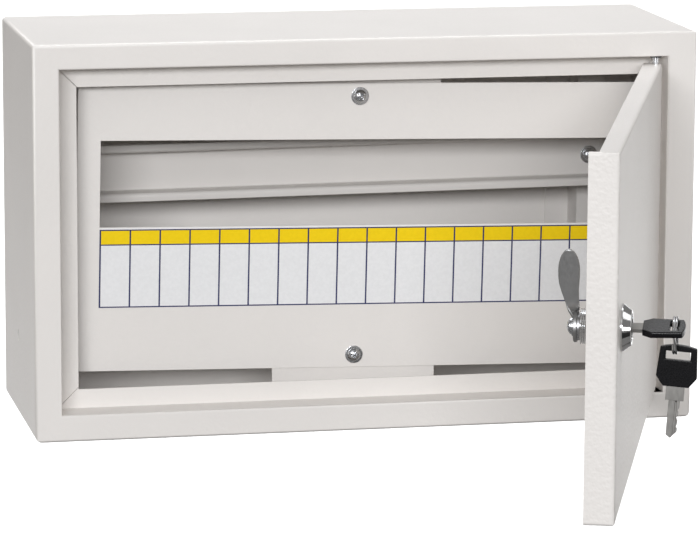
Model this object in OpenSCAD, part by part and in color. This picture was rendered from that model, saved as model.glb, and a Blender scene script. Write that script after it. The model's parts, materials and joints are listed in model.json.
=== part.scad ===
// Wall-mounted sheet-steel enclosure for one row of modular switchgear, with a skewed cover plate,
// a circuit label, a mounting rail, and a door with a quarter-turn cam lock and two keys on a ring.
// Origin: centre of the rear mounting face. +X to the right, +Y into the wall, +Z up. Millimetres.

/* [Cabinet] */
// Width of the cabinet body
body_w = 400; // [396:1:460]
// Height of the cabinet body
body_h = 236; // [232:1:300]
// Depth of the cabinet body
body_d = 140; // [130:1:180]
// Thickness of the folded steel sheet
sheet = 1; // [0.8:0.1:1.2]
// Outer radius of the bends round the front frame
bend_r = 2; // [1.5:0.1:2.5]
// Radius of the two upper corners of the front frame
corner_r_top = 2.5; // [2:0.5:5]
// Radius of the two lower corners of the front frame
corner_r_bottom = 4.5; // [2:0.5:6]

/* [Front frame] */
// Width of the frame on the lock side
frame_left = 16; // [14:0.5:18]
// Width of the frame on the hinge side
frame_right = 17.5; // [16:0.5:20]
// Width of the frame above the door
frame_top = 15; // [14:0.5:18]
// Width of the frame below the door
frame_bottom = 16; // [14:0.5:18]
// Depth from the front of the frame to the ledge behind the door
ledge_depth = 20.4; // [19:0.1:20.5]
// Width of the ledge at the left and right
ledge_side = 12.6; // [10:0.1:13]
// Width of the ledge at the top
ledge_top = 12.9; // [10:0.1:13]
// Width of the ledge at the bottom
ledge_bottom = 11.3; // [10:0.1:13]

/* [Cover plate] */
// Width of the cover plate
cover_w = 340; // [336:1:341]
// Height of the cover plate
cover_h = 173; // [170:1:174]
// Depth from the front of the frame to the face of the cover plate
cover_depth = 35.5; // [35.5:0.5:40]
// Clockwise skew of the cover plate and of the tabs that it is screwed to
cover_skew = 1.15; // [0:0.05:1.5]
// Width of the window, which the label shares
window_w = 312; // [280:1:314]
// Height of the window
window_h = 52; // [46:1:54]
// Height of the circuit label under the window
label_h = 48; // [40:1:50]
// Distance between the two cover screws
cover_screw_pitch = 157.4; // [155:0.1:158]

/* [Mounting rail] */
// Length of the rail
rail_l = 335; // [330:1:340]
// Height of the rail's centre line above the cabinet's centre
rail_z = 28.8; // [24:0.1:32]
// Depth from the front of the frame to the rail's lips
rail_lip_depth = 83; // [80:1:84]
// Thickness of the rail
rail_sheet = 1.2; // [1:0.1:1.5]
// How far the rail and its risers are turned anticlockwise, seen from the front
rail_tilt = 0.4; // [0:0.1:0.8]

/* [Wall fixings] */
// Distance between the wall holes from side to side
wall_pitch_x = 240; // [200:1:260]
// Distance between the wall holes from top to bottom
wall_pitch_z = 170; // [150:1:172]
// Diameter of the wall holes
wall_hole_d = 7; // [5:0.5:8]

/* [Door] */
// Angle at which the door stands open
door_open = 70.6; // [0:0.1:115]
// Gap between the frame and the door's free edge
gap_free = 1.8; // [1.6:0.1:3]
// Gap between the frame and the door's hinge edge
gap_hinge = 3.1; // [3:0.1:4]
// Gap above the door
gap_top = 4.5; // [3:0.1:5]
// Gap below the door
gap_bottom = 2.8; // [2.5:0.1:4]
// Depth of the door's fold on its free edge
fold_free = 16.5; // [14:0.5:17]
// Depth of the door's folds at the top and bottom
fold_ends = 11; // [8:0.5:13]
// Distance of the hinge axis from the door's hinge edge and from its face
hinge_inset = 3.8; // [3.5:0.1:4]

/* [Lock and keys] */
// Distance of the lock from the door's free edge
lock_inset = 32; // [28:0.5:36]
// Height of the lock above the cabinet's centre
lock_z = 0.9; // [-10:0.1:10]
// How far the key is turned from the unlocked stop towards the locked one
key_turn = 9.5; // [0:0.5:12]
// Outer diameter of the key ring
ring_d = 20.4; // [20:0.1:20.6]
// Sideways lean of the second key
second_key_lean = 4; // [0:0.5:6]

/* [Hidden] */
$fn = 64;
eps = 0.01;

// Paint, metal and plastic colours
paint = [0.85, 0.84, 0.82];
zinc = [0.74, 0.75, 0.77];
chrome = [0.83, 0.84, 0.86];
steel = [0.62, 0.62, 0.63];
black = [0.07, 0.07, 0.08];
rubber = [0.22, 0.22, 0.23];
paper = [0.9, 0.9, 0.88];

// Opening in the front frame
open_l = -body_w / 2 + frame_left;
open_r = body_w / 2 - frame_right;
open_t = body_h / 2 - frame_top;
open_b = -body_h / 2 + frame_bottom;
front_y = -body_d;
ledge_y = front_y + ledge_depth;

// Cover plate, window and label, before the skew
cover_y = front_y + cover_depth;
cover_sheet = 1;
cover_back_y = cover_y + cover_sheet;
window_z0 = 0.5;
label_t = 0.15;
label_gap = 0.3;
cover_hole_r = 2.5;

// Joints between the folds of the ledge
mitre_gap = 0.25;
relief_r = 0.8;

// Tabs that carry the cover plate
tab_w = 100;
tab_t = 1.2;
tab_foot = 20;
tab_reach = 52;

// Cover screws and nuts
screw_r = 2;
screw_l = 12;
screw_flange_r = 5.4;
screw_flange_t = 0.8;
screw_dome_r = 3.8;
screw_dome_h = 2.4;
nut_flats = 7;
nut_h = 3.2;

// Rail, its uprights and risers
rail_h = 35;
rail_depth = 15;
rail_channel = 27;
rail_lip_y = front_y + rail_lip_depth;
rail_back_y = rail_lip_y + rail_depth;
rail_screw_x = 160;
upright_t = 1.2;
upright_h = 160;
upright_x = 143;
upright_foot = 16;
upright_face = 17;
upright_proud = 23;
riser_h = 30;
riser_t = 1.5;
riser_x0 = 150;
riser_x1 = 170;
rear_t = 1;

// Cable entries in the bottom wall
entry_r = 11;
entry_y = -45;
entry_inner_x = 40;
entry_outer_x = 120;
entry_bore_r = 6;
entry_groove = 1.5;
entry_lip = 3;

// Plug in the left wall
side_plug_r = 3.5;
side_plug_y = front_y + 75.5;
side_plug_z = -67.2;

// Earth stud on the rear panel
earth_x = -187;
earth_z = -100;
earth_r = 3;
earth_root_r = 2.8;
earth_root_l = 6.3;
earth_l = 20;

// Door and hinge, with the door closed
door_l = open_l + gap_free;
door_r = open_r - gap_hinge;
door_t = open_t - gap_top;
door_b = open_b + gap_bottom;
door_w = door_r - door_l;
door_h = door_t - door_b;
fold_hinge = 7;
hinge_x = door_r - hinge_inset;
hinge_y = front_y + hinge_inset;
pin_r = 2;
pin_play = 0.05;
pin_head_r = 2.7;
pin_head_h = 1.5;
bush_r = 2.9;
bush_lip_r = 3.5;
bush_lip_t = 0.8;

// Cam lock, measured outwards from the door's face
lock_x = door_l + lock_inset;
bezel_r = 12.7;
bezel_rim = 1;
bezel_out = 5.5;
bezel_nose_r = 9.3;
mouth_r = 7.6;
mouth_floor = 2.5;
barrel_r = 9.5;
barrel_in = 21.5;
bore_r = 6.05;
plug_r = 6;
plug_out = 3.5;
collar_r = 7.5;
collar_gap = 0.3;
hub_front = -23.2;
hub_t = 2;
hub_r = 8.5;
tail_flats = 8;
keyway_w = 6.4;
keyway_t = 2.4;
keyway_in = 17.5;
lever_l = 42.7;
lever_t = 1.8;
lever_start = 5.6;
lever_tip_s = 31;
lever_w = 11.4;
lever_neck_w = 7;
lever_steps = 28;
cam_washer_r = 5.4;
cam_washer_t = 1;
cam_head_r = 4.5;
cam_head_h = 2.8;

// Keys, measured along the key from the blade side of the bow
bow_l = 22.4;
bow_t = 3.5;
bow_w = 21.8;
bow_nose_w = 13.8;
bow_end_w = 19.4;
bow_chamfer = 0.7;
bow_arch_r = 32;
slot_l = 13;
slot_w = 4.7;
slot_from_end = 3.4;
shoulder_w = 9.7;
shoulder_l = 7.6;
blade_w = 6;
blade_t = 2;
blade_l = 20.2;
tang_l = 6;
bow_out = plug_out + shoulder_l + 0.1;

// Key ring, which hangs from the side bar of the first key
ring_wire = 1.5;
ring_coil = 1.4;
ring_r = ring_d / 2 - ring_wire / 2;
bar_x = (slot_l / 2 + 10.1) / 2;
bar_clear_r = 2.35;
ring_drop = ring_r - ring_wire / 2 - bar_clear_r;
slot_out = bow_out + bow_l - slot_from_end - slot_w / 2;
bar_pos = [bar_x * cos(key_turn), bar_x * sin(key_turn)];
hang_gap = 0.35;
hang_slip = 1.8;

// --- Shared shapes ---

// What a rounded corner of radius r removes from a square corner that points to +X +Y
module corner_waste(r) {
    translate([-r, -r])
        difference() {
            square(r + 1);
            circle(r);
        }
}

// Rectangle from a to b with its two corners at the low Y side rounded by r
module rect_low_rounded(a, b, r) {
    difference() {
        translate(a) square(b - a);
        translate(a) rotate(180) corner_waste(r);
        translate([b[0], a[1]]) rotate(270) corner_waste(r);
    }
}

// Rectangle in X and Z with separate radii for its upper and lower corners
module front_outline(x0, x1, z0, z1, r_top, r_bottom) {
    difference() {
        translate([x0, z0]) square([x1 - x0, z1 - z0]);
        translate([x1, z1]) corner_waste(r_top);
        translate([x0, z1]) rotate(90) corner_waste(r_top);
        translate([x0, z0]) rotate(180) corner_waste(r_bottom);
        translate([x1, z0]) rotate(270) corner_waste(r_bottom);
    }
}

// Block from y0 to y1 whose four front edges are bent with radius r
module bent_block(x0, x1, z0, z1, y0, y1, r, r_top, r_bottom) {
    intersection() {
        translate([0, y1, 0])
            rotate([90, 0, 0])
                linear_extrude(y1 - y0)
                    front_outline(x0, x1, z0, z1, r_top, r_bottom);
        translate([0, 0, z0])
            linear_extrude(z1 - z0)
                rect_low_rounded([x0, y0], [x1, y1], r);
        translate([x1, 0, 0])
            rotate([0, -90, 0])
                linear_extrude(x1 - x0)
                    depth_profile(z0, z1, y0, y1, r);
    }
}

// Side view of a bent block: Z runs along +X and Y along +Y, with the low Y corners rounded
module depth_profile(z0, z1, y0, y1, r) {
    rect_low_rounded([z0, y0], [z1, y1], r);
}

module block(x0, x1, y0, y1, z0, z1) {
    translate([x0, y0, z0]) cube([x1 - x0, y1 - y0, z1 - z0]);
}

// Cylinder along Y from y0 to y1
module rod_y(x, z, r, y0, y1) {
    translate([x, y1, z]) rotate([90, 0, 0]) cylinder(r = r, h = y1 - y0);
}

module hex_prism(flats, h) {
    cylinder(d = flats / cos(30), h = h, $fn = 6);
}

// Cross recess for a driver, cut down from z = 0
module cross_recess(span, slot, depth) {
    for (a = [0, 90])
        rotate(a)
            translate([-span / 2, -slot / 2, -depth]) cube([span, slot, depth + 1]);
}

// Puts what is drawn for the closed door in its open place
module on_door() {
    translate([hinge_x, hinge_y, 0])
        rotate([0, 0, door_open])
            translate([-hinge_x, -hinge_y, 0]) children();
}

// Frame on the lock axis at the door's face: X to the hinge side, Y up, Z outwards
module at_lock() {
    on_door()
        translate([lock_x, front_y, lock_z])
            rotate([90, 0, 0]) children();
}

// The same frame turned with the lock cylinder
module at_cylinder() {
    at_lock() rotate([0, 0, key_turn]) children();
}

// Frame of the skewed cover plate: X right, Y back from its face, Z up
module at_cover() {
    translate([0, cover_y, 0]) rotate([0, cover_skew, 0]) children();
}

// --- Cabinet ---

module housing_shell() {
    color(paint)
        difference() {
            union() {
                outer_walls();
                door_recess();
            }
            recess_cuts();
            hinge_holes();
            entry_holes();
            side_plug_hole();
        }
}

module outer_walls() {
    difference() {
        bent_block(
            -body_w / 2, body_w / 2, -body_h / 2, body_h / 2,
            front_y, 0, bend_r, corner_r_top, corner_r_bottom
        );
        bent_block(
            -body_w / 2 + sheet, body_w / 2 - sheet, -body_h / 2 + sheet, body_h / 2 - sheet,
            front_y + sheet, 1, bend_r - sheet, corner_r_top - sheet, corner_r_bottom - sheet
        );
    }
}

// Block that becomes the recess walls and the ledge
module door_recess() {
    block(
        open_l - sheet, open_r + sheet, front_y + sheet / 2, ledge_y + sheet,
        open_b - sheet, open_t + sheet
    );
}

module recess_cuts() {
    block(open_l, open_r, front_y - 1, ledge_y, open_b, open_t);
    block(
        open_l + ledge_side, open_r - ledge_side, ledge_y - 1, ledge_y + sheet + 1,
        open_b + ledge_bottom, open_t - ledge_top
    );
    ledge_mitres();
}

// Narrow joints where the four ledge folds meet at 45 degrees, each with a round relief at its corner
module ledge_mitres() {
    for (c = [[open_l, open_b, 45], [open_r, open_b, 135], [open_r, open_t, 225], [open_l, open_t, 315]])
        translate([c[0], ledge_y - 0.5, c[1]])
            rotate([0, -c[2], 0]) {
                translate([relief_r, 0, -mitre_gap / 2]) cube([20, sheet + 1, mitre_gap]);
                translate([relief_r * sqrt(2), 0, 0]) rotate([-90, 0, 0]) cylinder(r = relief_r, h = sheet + 1);
            }
}

module hinge_holes() {
    for (z = [open_b - sheet - 1, open_t - 1])
        translate([hinge_x, hinge_y, z]) cylinder(r = bush_r, h = sheet + 2);
}

module entry_holes() {
    for (x = [-entry_outer_x, -entry_inner_x, entry_inner_x, entry_outer_x])
        translate([x, entry_y, -body_h / 2 - 1]) cylinder(r = entry_r, h = sheet + 2);
}

module side_plug_hole() {
    translate([-body_w / 2 - 1, side_plug_y, side_plug_z])
        rotate([0, 90, 0]) cylinder(r = side_plug_r, h = sheet + 2);
}

module rear_panel() {
    color(paint)
        difference() {
            block(
                -body_w / 2 + sheet, body_w / 2 - sheet, -rear_t, 0,
                -body_h / 2 + sheet, body_h / 2 - sheet
            );
            for (x = [-1, 1], z = [-1, 1])
                rod_y(x * wall_pitch_x / 2, z * wall_pitch_z / 2, wall_hole_d / 2, -2, 1);
            // The shell's inner corner radii carry on through the panel
            for (a = [0, 1])
                mirror([a, 0, 0]) {
                    translate([body_w / 2 - sheet, 1, body_h / 2 - sheet])
                        rotate([90, 0, 0]) linear_extrude(3) corner_waste(corner_r_top - sheet);
                    translate([body_w / 2 - sheet, -2, -body_h / 2 + sheet])
                        rotate([-90, 0, 0]) linear_extrude(3) corner_waste(corner_r_bottom - sheet);
                }
        }
}

// Folded strip that stands off the rear panel, on the right-hand side
module upright() {
    face_y = -rear_t - upright_proud;
    web_x = upright_x + upright_foot;
    translate([0, 0, -upright_h / 2])
        linear_extrude(upright_h) {
            translate([upright_x, -rear_t - upright_t]) square([upright_foot, upright_t]);
            translate([web_x - upright_t, face_y]) square([upright_t, upright_proud]);
            translate([web_x - upright_t, face_y]) square([upright_face, upright_t]);
        }
}

module right_upright() {
    color(paint) upright();
}

module left_upright() {
    color(paint) mirror([1, 0, 0]) upright();
}

// Turns the rail and what holds it about the middle of the rail
module at_rail() {
    translate([0, 0, rail_z]) rotate([0, -rail_tilt, 0]) translate([0, 0, -rail_z]) children();
}

// Folded piece that brings the rail forward of the upright
module rail_riser() {
    upright_front = -rear_t - upright_proud;
    difference() {
        translate([0, 0, rail_z - riser_h / 2])
            linear_extrude(riser_h) {
                translate([riser_x0, rail_back_y]) square([riser_x1 - riser_x0, riser_t]);
                translate([riser_x1 - riser_t, rail_back_y])
                    square([riser_t, upright_front - rail_back_y]);
                translate([riser_x0 + 10, upright_front - riser_t])
                    square([riser_x1 - riser_x0 - 10, riser_t]);
            }
        rod_y(rail_screw_x, rail_z, screw_r + 0.6, rail_back_y - 1, rail_back_y + 5);
    }
}

module right_rail_riser() {
    color(paint) at_rail() rail_riser();
}

module left_rail_riser() {
    color(paint) at_rail() mirror([1, 0, 0]) rail_riser();
}

// Half of the rail's section, above its centre line: X is depth, Y is height
module rail_half_section() {
    half = rail_h / 2;
    wall = rail_channel / 2;
    lip_y = rail_lip_y;
    back_y = rail_back_y;
    translate([back_y - rail_sheet, 0]) square([rail_sheet, wall]);
    translate([lip_y, wall - rail_sheet]) square([rail_depth, rail_sheet]);
    translate([lip_y, wall - rail_sheet]) square([rail_sheet, half - wall + rail_sheet]);
}

module mounting_rail() {
    color(paint)
        at_rail() difference() {
            translate([-rail_l / 2, 0, rail_z])
                rotate([90, 0, 90])
                    linear_extrude(rail_l) {
                        rail_half_section();
                        mirror([0, 1, 0]) rail_half_section();
                    }
            for (x = [-1, 1])
                rod_y(x * rail_screw_x, rail_z, screw_r + 0.6, rail_back_y - 3, rail_back_y + 1);
        }
}

// Pan-head screw along +Z: head above z = 0, shank below
module pan_screw(flange_r, flange_t, dome_r, dome_h, r, l) {
    difference() {
        union() {
            cylinder(r = flange_r, h = flange_t);
            rotate_extrude()
                intersection() {
                    translate([0, flange_t]) square([dome_r, dome_h]);
                    translate([0, flange_t + dome_h - dome_r * 1.35]) circle(dome_r * 1.35);
                }
            translate([0, 0, -l]) cylinder(r = r, h = l);
        }
        translate([0, 0, flange_t + dome_h]) cross_recess(dome_r * 1.15, 0.9, 1.8);
    }
}

module rail_screws() {
    color(zinc)
        at_rail() for (x = [-1, 1])
            translate([x * rail_screw_x, rail_back_y - rail_sheet, rail_z])
                rotate([90, 0, 0])
                    pan_screw(5.5, 1, 3.8, 2.4, screw_r, 10);
}

module rail_nuts() {
    color(zinc)
        at_rail() for (x = [-1, 1])
            translate([x * rail_screw_x, rail_back_y + riser_t + nut_h, rail_z])
                rotate([90, 0, 0])
                    difference() {
                        hex_prism(nut_flats, nut_h);
                        translate([0, 0, -1]) cylinder(r = screw_r + pin_play, h = nut_h + 2);
                    }
}

// Tab above the cover plate; the lower one is the same piece turned over
module cover_bracket() {
    top_z = body_h / 2 - sheet;
    shift = sin(cover_skew) * cover_screw_pitch / 2;
    difference() {
        union() {
            block(
                shift - tab_w / 2, shift + tab_w / 2, cover_back_y, cover_back_y + tab_t,
                top_z - tab_reach, top_z
            );
            block(
                shift - tab_w / 2, shift + tab_w / 2, cover_back_y, cover_back_y + tab_foot,
                top_z - tab_t, top_z
            );
        }
        rod_y(
            shift, cos(cover_skew) * cover_screw_pitch / 2, cover_hole_r,
            cover_back_y - 1, cover_back_y + 3
        );
    }
}

module upper_cover_bracket() {
    color(paint) cover_bracket();
}

module lower_cover_bracket() {
    color(paint) rotate([0, 180, 0]) cover_bracket();
}

module cover_plate() {
    color(paint)
        at_cover()
            difference() {
                block(-cover_w / 2, cover_w / 2, 0, cover_sheet, -cover_h / 2, cover_h / 2);
                block(-window_w / 2, window_w / 2, -1, 2, window_z0, window_z0 + window_h);
                for (z = [-1, 1])
                    rod_y(0, z * cover_screw_pitch / 2, cover_hole_r, -1, 2);
            }
}

module circuit_label() {
    color(paper)
        at_cover()
            block(-window_w / 2, window_w / 2, -label_t, 0, -label_h, window_z0 - label_gap);
}

module cover_screws() {
    color(zinc)
        at_cover()
            for (z = [-1, 1])
                translate([0, 0, z * cover_screw_pitch / 2])
                    rotate([90, 30, 0])
                        pan_screw(
                            screw_flange_r, screw_flange_t, screw_dome_r, screw_dome_h,
                            screw_r, screw_l
                        );
}

module cover_nuts() {
    color(zinc)
        at_cover()
            for (z = [-1, 1])
                translate([0, cover_sheet + tab_t + nut_h, z * cover_screw_pitch / 2])
                    rotate([90, 0, 0])
                        difference() {
                            hex_prism(nut_flats, nut_h);
                            translate([0, 0, -1])
                                cylinder(r = screw_r + pin_play, h = nut_h + 2);
                        }
}

// Grooved ring or plug that snaps into a cable entry, with its outer lip below the bottom wall
module entry_profile(hollow_r) {
    base = -body_h / 2 - entry_groove;
    rotate_extrude()
        difference() {
            union() {
                translate([0, base]) square([entry_r + entry_lip, entry_groove]);
                translate([0, base]) square([entry_r, 2 * entry_groove + sheet]);
                translate([0, base + entry_groove + sheet]) square([entry_r + 1.5, entry_groove]);
            }
            translate([-1, base - 1]) square([hollow_r + 1, 10]);
        }
}

module cable_grommets() {
    color(rubber)
        for (x = [-entry_inner_x, entry_inner_x])
            translate([x, entry_y, 0]) entry_profile(entry_bore_r);
}

module blanking_plugs() {
    color(rubber)
        for (x = [-entry_outer_x, entry_outer_x])
            translate([x, entry_y, 0]) entry_profile(0);
}

module side_plug() {
    color(paint)
        translate([-body_w / 2 + 0.2, side_plug_y, side_plug_z])
            rotate([0, 90, 0]) {
                cylinder(r = side_plug_r, h = sheet - 0.2);
                translate([0, 0, sheet - 0.2]) cylinder(r = side_plug_r + 1.2, h = 1);
            }
}

module earth_stud() {
    color(zinc) {
        rod_y(earth_x, earth_z, earth_root_r, -rear_t - earth_root_l, -rear_t);
        rod_y(earth_x, earth_z, earth_r, -rear_t - earth_l, -rear_t - earth_root_l);
    }
}

module earth_nut() {
    color(zinc)
        translate([earth_x, -rear_t, earth_z])
            rotate([90, 0, 0])
                difference() {
                    union() {
                        cylinder(r = 6, h = 1.2);
                        translate([0, 0, 1.2]) hex_prism(10, 5);
                    }
                    translate([0, 0, -1]) cylinder(r = earth_root_r + pin_play, h = 9);
                }
}

// Bush drawn in the wall above the door, with its lip below the wall
module hinge_bush() {
    difference() {
        union() {
            translate([0, 0, -bush_lip_t]) cylinder(r = bush_lip_r, h = bush_lip_t);
            cylinder(r = bush_r, h = sheet);
        }
        translate([0, 0, -2]) cylinder(r = pin_r + pin_play, h = 5);
    }
}

module hinge_bushes() {
    color(black) {
        translate([hinge_x, hinge_y, open_t]) hinge_bush();
        translate([hinge_x, hinge_y, open_b]) mirror([0, 0, 1]) hinge_bush();
    }
}

// --- Door ---

module door_panel() {
    color(paint)
        on_door()
            difference() {
                bent_block(
                    door_l, door_r, door_b, door_t, front_y, front_y + fold_free,
                    bend_r, bend_r, bend_r
                );
                bent_block(
                    door_l + sheet, door_r - sheet, door_b + sheet, door_t - sheet,
                    front_y + sheet, front_y + fold_free + 1,
                    bend_r - sheet, bend_r - sheet, bend_r - sheet
                );
                // The folds at the top, bottom and hinge side are shallower than the free one
                block(
                    door_l + bend_r, door_r + 1, front_y + fold_ends, front_y + fold_free + 1,
                    door_b - 1, door_t + 1
                );
                block(
                    door_r - bend_r, door_r + 1, front_y + fold_hinge, front_y + fold_free + 1,
                    door_b + 3, door_t - 3
                );
                rod_y(lock_x, lock_z, barrel_r, front_y - 1, front_y + sheet + 1);
                for (z = [door_b - 1, door_t - sheet - 1])
                    translate([hinge_x, hinge_y, z]) cylinder(r = pin_r, h = sheet + 2);
            }
}

// Pin that stands up from the door's fold into a bush, with its head inside the fold
module hinge_pin(reach) {
    translate([0, 0, -sheet - pin_head_h]) cylinder(r = pin_head_r, h = pin_head_h);
    translate([0, 0, -sheet]) cylinder(r = pin_r, h = sheet + reach);
}

module upper_hinge_pin() {
    color(zinc) translate([hinge_x, hinge_y, door_t]) hinge_pin(gap_top + sheet + 1.5);
}

module lower_hinge_pin() {
    color(zinc)
        translate([hinge_x, hinge_y, door_b])
            mirror([0, 0, 1]) hinge_pin(gap_bottom + sheet + 1.5);
}

// --- Lock ---

// Bezel and threaded barrel, one casting
module lock_barrel() {
    color(chrome)
        at_lock()
            rotate_extrude()
                polygon([
                    [bore_r, -barrel_in],
                    [barrel_r, -barrel_in],
                    [barrel_r, 0],
                    [bezel_r, 0],
                    [bezel_r, bezel_rim],
                    [bezel_r - 1, bezel_rim + 1],
                    [bezel_nose_r + 0.9, bezel_out - 1],
                    [bezel_nose_r, bezel_out],
                    [mouth_r, bezel_out],
                    [mouth_r, mouth_floor],
                    [bore_r, mouth_floor]
                ]);
}

module lock_washer() {
    color(zinc)
        at_lock()
            translate([0, 0, -sheet - 0.8])
                difference() {
                    cylinder(r = 12.5, h = 0.8);
                    translate([0, 0, -1]) cylinder(r = barrel_r + pin_play, h = 3);
                }
}

module lock_nut() {
    color(zinc)
        at_lock()
            translate([0, 0, -sheet - 4.8])
                difference() {
                    hex_prism(24, 4);
                    translate([0, 0, -1]) cylinder(r = barrel_r + pin_play, h = 6);
                }
}

module lock_plug() {
    color(steel)
        at_cylinder()
            difference() {
                union() {
                    translate([0, 0, -barrel_in - collar_gap])
                        cylinder(r = plug_r, h = barrel_in + collar_gap + plug_out);
                    translate([0, 0, hub_front])
                        cylinder(r = collar_r, h = -hub_front - barrel_in - collar_gap);
                    translate([-tail_flats / 2, -tail_flats / 2, hub_front - hub_t])
                        cube([tail_flats, tail_flats, hub_t + 1]);
                }
                translate([-keyway_w / 2, -keyway_t / 2, -keyway_in])
                    cube([keyway_w, keyway_t, keyway_in + plug_out + 1]);
                // Thread for the cam screw
                translate([0, 0, hub_front - hub_t - 1])
                    cylinder(r = 1.6, h = 5);
            }
}

function smooth(t) = let (c = min(max(t, 0), 1)) c * c * (3 - 2 * c);

// Twisted lever: s is the distance from the lock axis, along +Y of the cylinder's frame
function lever_width(s) =
    s < lever_tip_s
        ? lever_neck_w + (lever_w - lever_neck_w) * smooth((s - 10) / 19)
        : lever_w * sqrt(max(1 - pow((s - lever_tip_s) / (lever_l - lever_tip_s), 2), 0.003));
function lever_twist(s) = 90 * smooth((s - 3.5) / 11.5);
function lever_depth(s) = hub_front - hub_t / 2 - 3.5 * smooth(s / 26);
function lever_s(i) = lever_start + (lever_l - lever_start) * sin(90 * i / lever_steps);
function lever_ring(s) = [
    for (k = [[-1, -1], [1, -1], [1, 1], [-1, 1]])
        let (
            across = k[0] * lever_width(s) / 2,
            through = k[1] * lever_t / 2,
            a = lever_twist(s)
        )
        [across * cos(a) - through * sin(a), s, lever_depth(s) + across * sin(a) + through * cos(a)]
];

module lever_blade() {
    points = [for (i = [0:lever_steps]) for (p = lever_ring(lever_s(i))) p];
    sides = [
        for (i = [0:lever_steps - 1], k = [0:3], half = [0, 1])
            let (a = 4 * i + k, b = 4 * i + (k + 1) % 4)
            half == 0 ? [a, b, b + 4] : [a, b + 4, a + 4]
    ];
    last = 4 * lever_steps;
    ends = [[3, 2, 1, 0], [last, last + 1, last + 2, last + 3]];
    polyhedron(points = points, faces = concat(sides, ends), convexity = 4);
}

module cam_lever() {
    color(steel)
        at_cylinder()
            difference() {
                union() {
                    translate([0, 0, hub_front - hub_t]) cylinder(r = hub_r, h = hub_t);
                    lever_blade();
                }
                translate([-tail_flats / 2, -tail_flats / 2, hub_front - hub_t - 2])
                    cube([tail_flats, tail_flats, hub_t + 4]);
            }
}

module cam_washer() {
    color(zinc)
        at_cylinder()
            translate([0, 0, hub_front - hub_t - cam_washer_t])
                difference() {
                    cylinder(r = cam_washer_r, h = cam_washer_t);
                    translate([0, 0, -1]) cylinder(r = 1.7, h = cam_washer_t + 2);
                }
}

module cam_screw() {
    seat = hub_front - hub_t - cam_washer_t;
    color(zinc)
        at_cylinder()
            difference() {
                union() {
                    translate([0, 0, seat - cam_head_h]) cylinder(r = cam_head_r, h = cam_head_h);
                    translate([0, 0, seat - 0.1]) cylinder(r = 1.6, h = cam_washer_t + 3.5);
                }
                translate([0, 0, seat - cam_head_h])
                    mirror([0, 0, 1]) cross_recess(5, 1, 1.8);
            }
}

// --- Keys: length along Z, width along X, thickness along Y, bow from z = 0 upwards ---

module bow_outline() {
    shoulder = 5.2;
    intersection() {
        polygon([
            [-bow_nose_w / 2, 0],
            [bow_nose_w / 2, 0],
            [bow_w / 2, shoulder],
            [bow_end_w / 2, bow_l],
            [-bow_end_w / 2, bow_l],
            [-bow_w / 2, shoulder]
        ]);
        translate([0, bow_l - bow_arch_r]) circle(bow_arch_r, $fn = 128);
    }
}

// Cross-section of the bow: a slab with its long edges chamfered
module bow_section(half_w, half_t, c) {
    polygon([
        [-half_w + c, -half_t], [half_w - c, -half_t], [half_w, -half_t + c], [half_w, half_t - c],
        [half_w - c, half_t], [-half_w + c, half_t], [-half_w, half_t - c], [-half_w, -half_t + c]
    ]);
}

// Ring slot, flared at both faces of the bow so that its side bars have chamfered edges
module slot_cut() {
    a = slot_l / 2;
    b = a + bow_chamfer + 0.3;
    t = bow_t / 2;
    translate([0, 0, bow_l - slot_from_end - slot_w])
        linear_extrude(slot_w)
            polygon([
                [-a, -t + bow_chamfer], [-b, -t - 0.3], [b, -t - 0.3], [a, -t + bow_chamfer],
                [a, t - bow_chamfer], [b, t + 0.3], [-b, t + 0.3], [-a, t - bow_chamfer]
            ]);
}

module bow_body() {
    side_slope = atan2((bow_w - bow_end_w) / 2, bow_l - 5.2);
    difference() {
        intersection() {
            translate([0, bow_t / 2, 0]) rotate([90, 0, 0]) linear_extrude(bow_t) bow_outline();
            union()
                for (side = [-1, 1])
                    translate([side * bow_end_w / 2, 0, bow_l])
                        rotate([0, side * side_slope, 0])
                            translate([-side * bow_end_w / 2, 0, -2 * bow_l])
                                linear_extrude(4 * bow_l)
                                    bow_section(bow_end_w / 2, bow_t / 2, bow_chamfer);
        }
        slot_cut();
        translate([-blade_w / 2, -blade_t / 2, -1]) cube([blade_w, blade_t, tang_l + 1]);
    }
}

module blade_outline() {
    w = blade_w / 2;
    z = -shoulder_l;
    translate([-w, 0]) square([blade_w, tang_l]);
    translate([-shoulder_w / 2, z]) square([shoulder_w, shoulder_l]);
    polygon([
        [-w, z + eps], [-w, z - blade_l + 1.5], [-w + 2, z - blade_l], [-w + 2.6, z - blade_l],
        [w - 0.4, z - blade_l + 3.4], [w - 0.2, z - 15.2], [w - 1.1, z - 14.2], [w - 0.5, z - 12.6],
        [w - 0.4, z - 10.8], [w - 1.3, z - 9.4], [w - 0.4, z - 8], [w - 0.3, z - 6.4],
        [w - 0.9, z - 5.4], [w, z - 3.6], [w, z + eps]
    ]);
}

module blade_body() {
    translate([0, blade_t / 2, 0]) rotate([90, 0, 0]) linear_extrude(blade_t) blade_outline();
}

module key_blade() {
    color(steel) at_cylinder() translate([0, 0, bow_out]) blade_body();
}

module key_bow() {
    color(black) at_cylinder() translate([0, 0, bow_out]) bow_body();
}

// Two turns of wire side by side
module key_ring() {
    color(steel)
        at_lock()
            translate([bar_pos[0], bar_pos[1] - ring_drop, slot_out])
                rotate_extrude($fn = 96)
                    for (side = [-1, 1])
                        translate([ring_r, side * ring_coil / 2]) circle(ring_wire / 2, $fn = 24);
}

// The second key hangs from the lowest point of the ring, with its width along the lock axis
module at_second_key() {
    wire = [bar_pos[0], bar_pos[1] - ring_drop - ring_r, slot_out];
    at_lock()
        translate(wire)
            rotate([second_key_lean, 0, 0])
                translate([0, ring_wire / 2 + hang_gap + slot_from_end - bow_l, hang_slip])
                    rotate(a = -120, v = [1, 1, 1]) children();
}

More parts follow.
